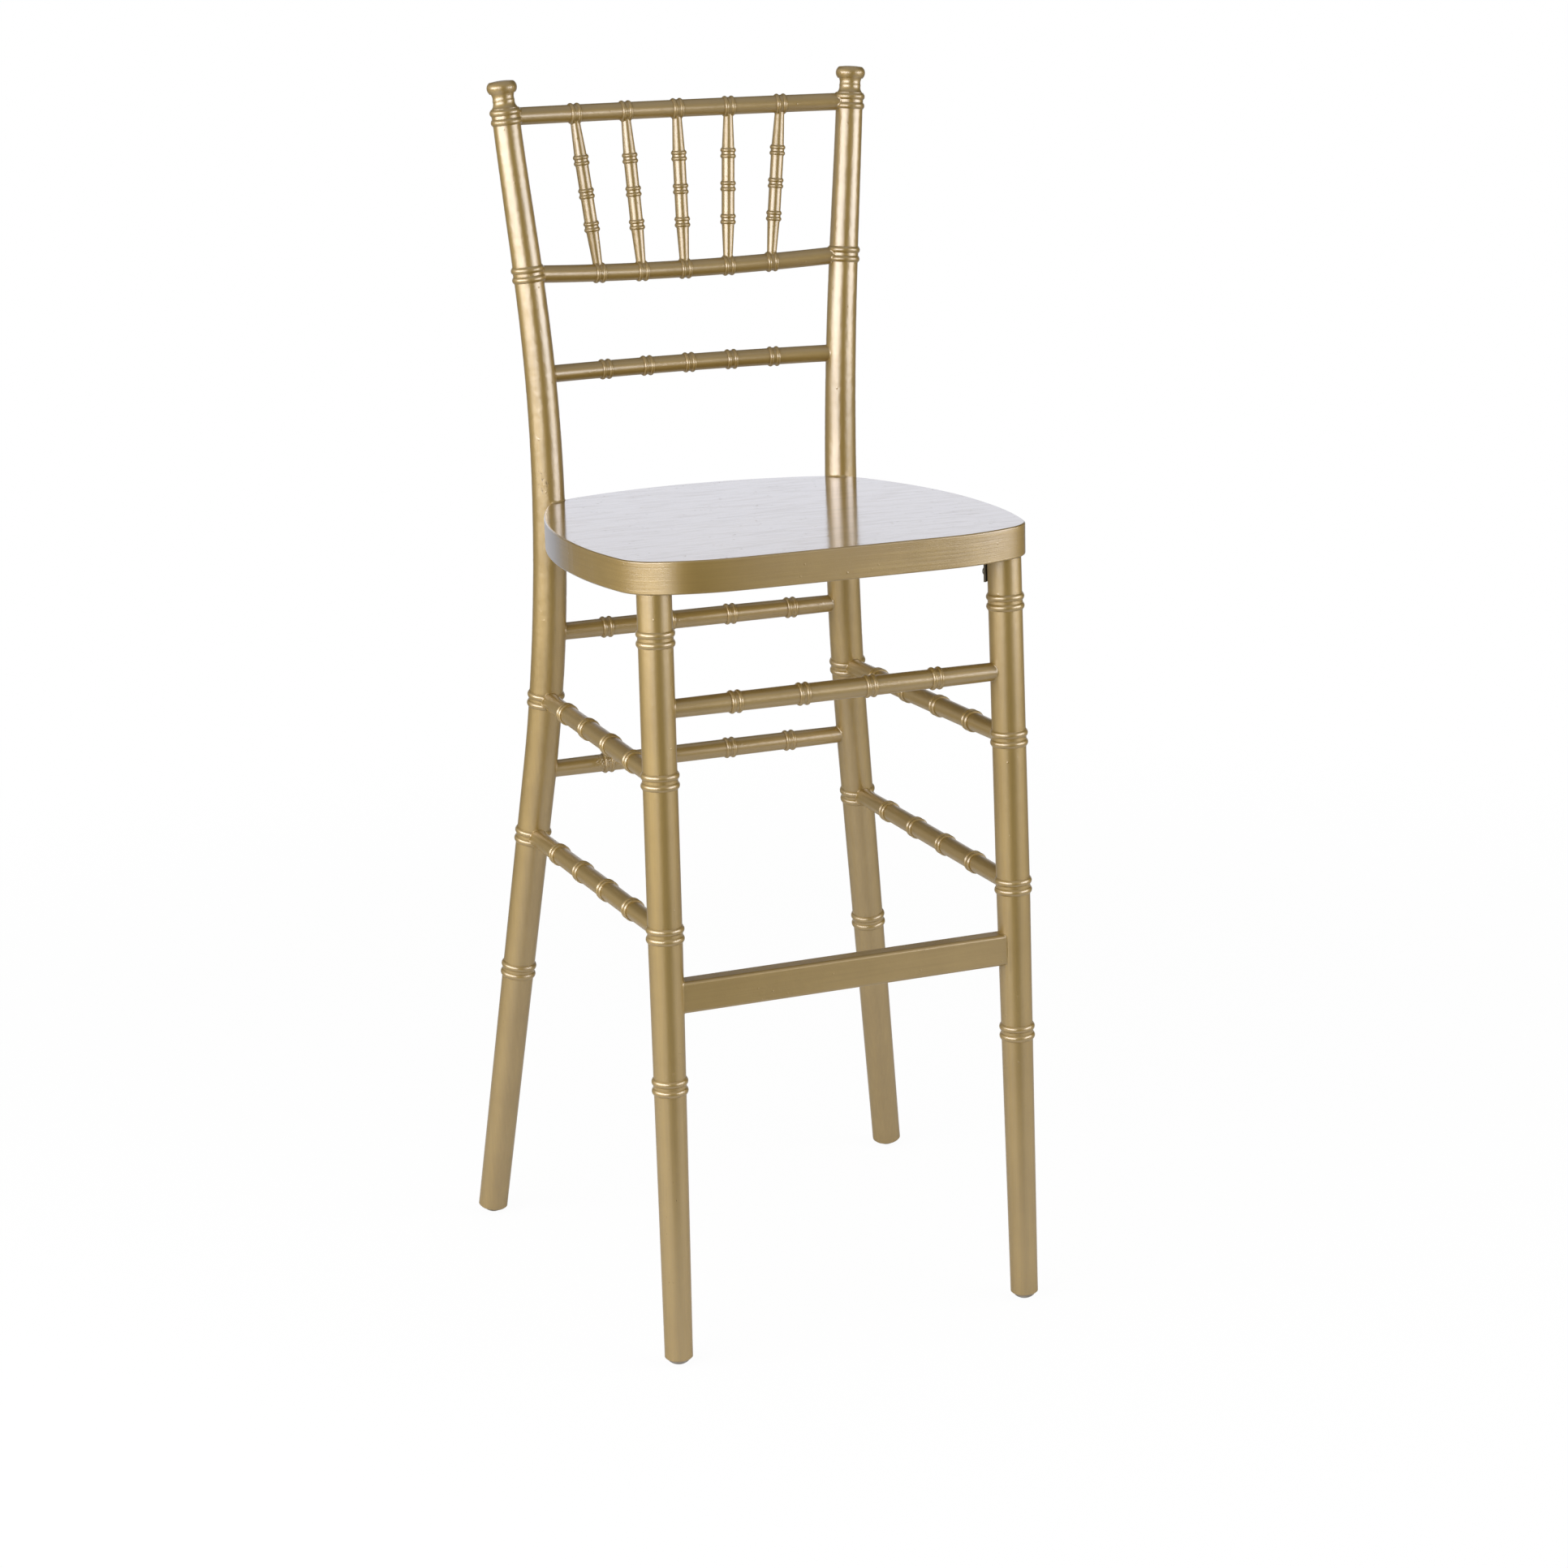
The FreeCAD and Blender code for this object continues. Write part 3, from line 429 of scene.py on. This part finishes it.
def paintRing(loop, holder, guest):  # sections of a cove round a piece in its hole
    places = evenly(loop, jointPaint["points"])
    outs = [guest.find_nearest(place)[1] for place in places]
    rows = []
    for number, place in enumerate(places):
        out = outs[number - 1] + outs[number] * 2 + outs[(number + 1) % len(outs)]
        out.normalize()
        foot = guest.find_nearest(place)[0]
        face = holder.find_nearest(place + out * jointPaint["probe"])[1]
        alongGuest = (face - out * face.dot(out)).normalized()
        alongHolder = (out - face * face.dot(out)).normalized()
        reach = gather(place)
        middle = foot + (alongGuest + alongHolder) * reach
        arms = [alongHolder * math.cos(turn) + alongGuest * math.sin(turn) for turn in coveTurns()]
        cove = [middle - arm * reach for arm in arms]
        buried = (out + face) * jointPaint["sunk"]
        cove[0] -= buried
        cove[-1] -= buried
        rows.append(cove + [foot - buried * 2])
    return rows


def postBead(post, seat, side):
    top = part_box("seat_panel")[1][2]
    level = top + postPaint["level"]
    inward, up = Vector((-side, 0, 0)), Vector((0, 0, 1))
    first, spacing, count = postPaint["lines"]
    lines = [first + spacing * step for step in range(count)]
    met = [y for y in lines if post.ray_cast(Vector((side, y, level)), inward)[0]]
    y = (met[0] + met[-1]) / 2
    outer = post.ray_cast(Vector((side, y, level)), inward)[0]
    inner = post.ray_cast(Vector((0, y, level)), -inward)[0]
    middle = (outer + inner) / 2
    feet = []
    for step in range(postPaint["turns"]):  # from straight outside, all the way round
        turn = 2 * math.pi * step / postPaint["turns"]
        out = Vector((math.cos(turn) * side, math.sin(turn) * side, 0))
        place = post.ray_cast(middle + out * postPaint["clear"], -out)[0]
        if seat.ray_cast(place + out * postPaint["probe"], -up, postPaint["drop"])[0]:
            feet.append((Vector((place.x, place.y, top)), out))
    rows = []
    for number, (foot, out) in enumerate(feet):
        fromEnd = min(number, len(feet) - 1 - number)
        reach = gather(foot) * min(1, postPaint["taper"] * (1 + fromEnd))
        wide, high = out * reach, up * (postPaint["slotGap"] + reach)
        turns = coveTurns()
        cove = [foot + wide * (1 - math.sin(turn)) + high * (1 - math.cos(turn)) for turn in turns]
        cove[0] -= up * jointPaint["sunk"]
        cove[-1] -= out * jointPaint["sunk"]
        rows.append(cove + [foot - out * postPaint["slotDepth"] + up * postPaint["slotRise"]])
    return rows


def skin(rows, closed):  # corners and faces of a tube through the rows
    wide, count = len(rows[0]), len(rows)
    corners = [spot for row in rows for spot in row]
    faces = []
    for row in range(count if closed else count - 1):
        here, there = row * wide, (row + 1) % count * wide
        for side in range(wide):
            after = (side + 1) % wide
            faces.append((here + side, here + after, there + after, there + side))
    if not closed:
        last = (count - 1) * wide
        faces += [tuple(range(wide))[::-1], tuple(range(last, last + wide))]
    return corners, faces


def jointTubes():
    trees = {name: treeOf(piece) for name, piece in nodes.items()}
    held = ("rear_post", "front_leg", "top_back", "middle_back")
    holders = [name for name in nodes if name.startswith(held)]
    ended = ("_rail", "_upper", "_lower")
    guests = [name for name in nodes if name.startswith("spindle") or name.endswith(ended)]
    guests.append("front_stretcher")
    tubes = []
    for holder in holders:
        rims = sharpRims(nodes[holder])
        for guest in guests:
            if guest == holder:
                continue
            meets = trees[guest].find_nearest
            gap = jointPaint["rimGap"]
            near = [pair for pair in rims if all(meets(spot, gap)[0] for spot in pair)]
            for loop in closedLoops(near):
                tubes.append(skin(paintRing(loop, trees[holder], trees[guest]), True))
    for name, side in (("rear_post_left", -1), ("rear_post_right", 1)):
        tubes.append(skin(postBead(trees[name], trees["seat_panel"], side), False))
    return tubes


def makeJointPaint():
    corners, faces = [], []
    for spots, sides in jointTubes():
        faces += [tuple(len(corners) + spot for spot in face) for face in sides]
        corners += spots
    mesh = bpy.data.meshes.new("joint_paint")
    mesh.from_pydata(corners, [], faces)
    work = bmesh.new()
    work.from_mesh(mesh)
    bmesh.ops.recalc_face_normals(work, faces=work.faces)
    work.to_mesh(mesh)
    work.free()
    mesh.shade_smooth()
    mesh.materials.append(uprightGold)
    paint = bpy.data.objects.new("joint_paint", mesh)
    bpy.context.scene.collection.objects.link(paint)
    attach(paint, "root")
    print("stage: joint paint,", len(faces), "faces")


makeJointPaint()

# Studio
studio = {
    "floorSize": 30.0,
    "floorWhite": 0.9,
    "floorGlow": 0.95,  # as the camera sees it; the rest keeps the shadow
    "floorFade": (0.9, 2.4),
    "floorShine": (0.80, 0.44),  # share that the metal shows, under the stool and farther off
    "floorPool": (0.5, 1.8),
    "floorFront": (0.4, 1.0),  # where the dark side of the room starts on the floor
    "floorFrontDim": 0.75,
    "floorBack": (1.2, 2.2),  # how far behind the stool the metal shows the floor white
    "ambient": 0.58,
    "backdrop": 1.0,
    "backdropAim": (0.3565, 0.9343, 0),
    "backdropWide": (0.78, 0.92),
    "backdropTop": (0.20, 0.32),
    "room": (0.42, 0.10),  # towards the front and behind
    "roomTurn": (-0.3, 0.45),
    "front": 0.10,  # the dark side of the room, where the camera stands
    "frontAim": (-0.155, -0.988, 0),
    "frontWide": (0.87, 0.96),
    "side": 0.65,
    "sideAim": (-0.93, 0.36, 0),
    "sideWide": (0.55, 0.9),
    "sideFoot": (-0.1, 0.05),
    "ceiling": 0.55,
    "ceilingFrom": (0.6, 0.9),
    "lampAim": (0, 0, 0.62),
}
lamps = {
    "key_softbox": {
        "direction": (-0.930, -0.354, 0), "distance": 2.6, "height": 1.12,
        "size": (4.0, 0.9), "power": 82},
    "fill_softbox": {
        "direction": (0.775, -0.635, 0), "distance": 2.8, "height": 1.0,
        "size": (2.4, 1.0), "power": 41},
}


def areaLight(name, direction, distance, height, size, power):
    data = bpy.data.lights.new(name, "AREA")
    data.shape = "RECTANGLE"
    data.size, data.size_y = size
    data.energy = power
    lamp = bpy.data.objects.new(name, data)
    bpy.context.scene.collection.objects.link(lamp)
    lamp.location = Vector(direction).normalized() * distance + Vector((0, 0, height))
    aim = Vector(studio["lampAim"]) - lamp.location
    lamp.rotation_euler = aim.to_track_quat("-Z", "Y").to_euler()


for name, values in lamps.items():
    areaLight(name, **values)


def makeFloor():
    half = studio["floorSize"] / 2
    mesh = bpy.data.meshes.new("floor")
    corners = [(-half, -half, 0), (half, -half, 0), (half, half, 0), (-half, half, 0)]
    mesh.from_pydata(corners, [], [(0, 1, 2, 3)])
    floor = bpy.data.objects.new("floor", mesh)
    bpy.context.scene.collection.objects.link(floor)
    bench = Bench(bpy.data.materials.new("floor_white"))
    white = studio["floorWhite"]
    lit = bench.node("BsdfDiffuse", {}, {"Color": (white, white, white, 1)})
    light = bench.node("LightPath", output="Is Camera Ray")
    shiny = bench.node("LightPath", output="Is Glossy Ray")
    glow = bench.node("Emission", {}, {"Color": (1, 1, 1, 1), "Strength": light})
    place = bench.node("TexCoord", output="Object")
    away = bench.vector("LENGTH", place, output="Value")
    seen = bench.ramp(away, *studio["floorFade"], studio["floorGlow"], 1.0)
    toward = bench.vector("DOT_PRODUCT", place, studio["frontAim"], "Value")
    front = bench.ramp(toward / away, *studio["frontWide"])
    front = front * bench.ramp(away, *studio["floorFront"]) * studio["floorFrontDim"]
    back = bench.vector("DOT_PRODUCT", place, studio["backdropAim"], "Value")
    rear = bench.ramp(back, *studio["floorBack"])
    rear = rear * bench.ramp(back / away, *studio["backdropWide"])
    share = bench.ramp(away, *studio["floorPool"], *studio["floorShine"]) * (1 - front)
    dim = 1 - share - rear * (1 - share)
    surface = bench.node("MixShader", {}, {0: light * seen + shiny * dim, 1: lit, 2: glow})
    bench.node("OutputMaterial", {}, {"Surface": surface})
    mesh.materials.append(bench.owner)


makeFloor()


def makeWorld():
    world = bpy.data.worlds.new("studio")
    bpy.context.scene.world = world
    bench = Bench(world)
    look = bench.node("TexCoord", output="Generated")
    height = bench.axis(look, "Z")
    aim = bench.vector("DOT_PRODUCT", look, studio["backdropAim"], "Value")
    low = bench.ramp(height, *studio["backdropTop"], 1.0, 0.0)
    behind = bench.ramp(aim, *studio["backdropWide"]) * low
    room = bench.ramp(aim, *studio["roomTurn"], *studio["room"])
    level = room + behind * (studio["backdrop"] - room)
    front = bench.vector("DOT_PRODUCT", look, studio["frontAim"], "Value")
    level = level + bench.ramp(front, *studio["frontWide"]) * (studio["front"] - room)
    beside = bench.vector("DOT_PRODUCT", look, studio["sideAim"], "Value")
    beside = bench.ramp(beside, *studio["sideWide"]) * bench.ramp(height, *studio["sideFoot"])
    level = level + beside * (1 - behind) * (studio["side"] - room)
    above = bench.ramp(height, *studio["ceilingFrom"])
    level = level + above * (studio["ceiling"] - room)
    shiny = bench.node("LightPath", output="Is Glossy Ray")
    seen = bench.node("LightPath", output="Is Camera Ray")
    clear = bench.node("LightPath", output="Is Transmission Ray")
    level = shiny * level + (1 - shiny) * studio["ambient"]
    outside = bench.node("Math", {"operation": "MAXIMUM"}, {0: seen, 1: clear})
    level = outside + (1 - outside) * level
    sky = bench.node("Background", {}, {"Color": (1, 1, 1, 1), "Strength": level})
    bench.node("OutputWorld", {}, {"Surface": sky})


makeWorld()
print("stage: studio lit")

# Camera at the photograph's place
view = {
    "eye": (-1.09478, -2.86898, 1.27746),
    "azimuth": -21.378,
    "elevation": 14.422,
    "roll": -1.628,
    "focalPixels": 3987.9,
    "imagePixels": 1932,
    "sensor": 36.0,
}


def makeCamera():
    angles = (view["azimuth"], view["elevation"], view["roll"])
    azimuth, elevation, roll = (math.radians(angle) for angle in angles)
    flat = Vector((-math.sin(azimuth), math.cos(azimuth), 0))
    ahead = flat * math.cos(elevation) - Vector((0, 0, math.sin(elevation)))
    level = Vector((math.cos(azimuth), math.sin(azimuth), 0))
    upright = level.cross(ahead)
    right = math.cos(roll) * level + math.sin(roll) * upright
    up = math.cos(roll) * upright - math.sin(roll) * level
    data = bpy.data.cameras.new("camera")
    data.sensor_width = view["sensor"]
    data.lens = view["focalPixels"] / view["imagePixels"] * view["sensor"]
    data.clip_end = 100
    camera = bpy.data.objects.new("camera", data)
    bpy.context.scene.collection.objects.link(camera)
    turn = Matrix((right, up, -ahead)).transposed().to_4x4()
    camera.matrix_world = Matrix.Translation(Vector(view["eye"])) @ turn
    bpy.context.scene.camera = camera


makeCamera()
bpy.context.scene.view_settings.view_transform = "Standard"
print("stage: camera set")
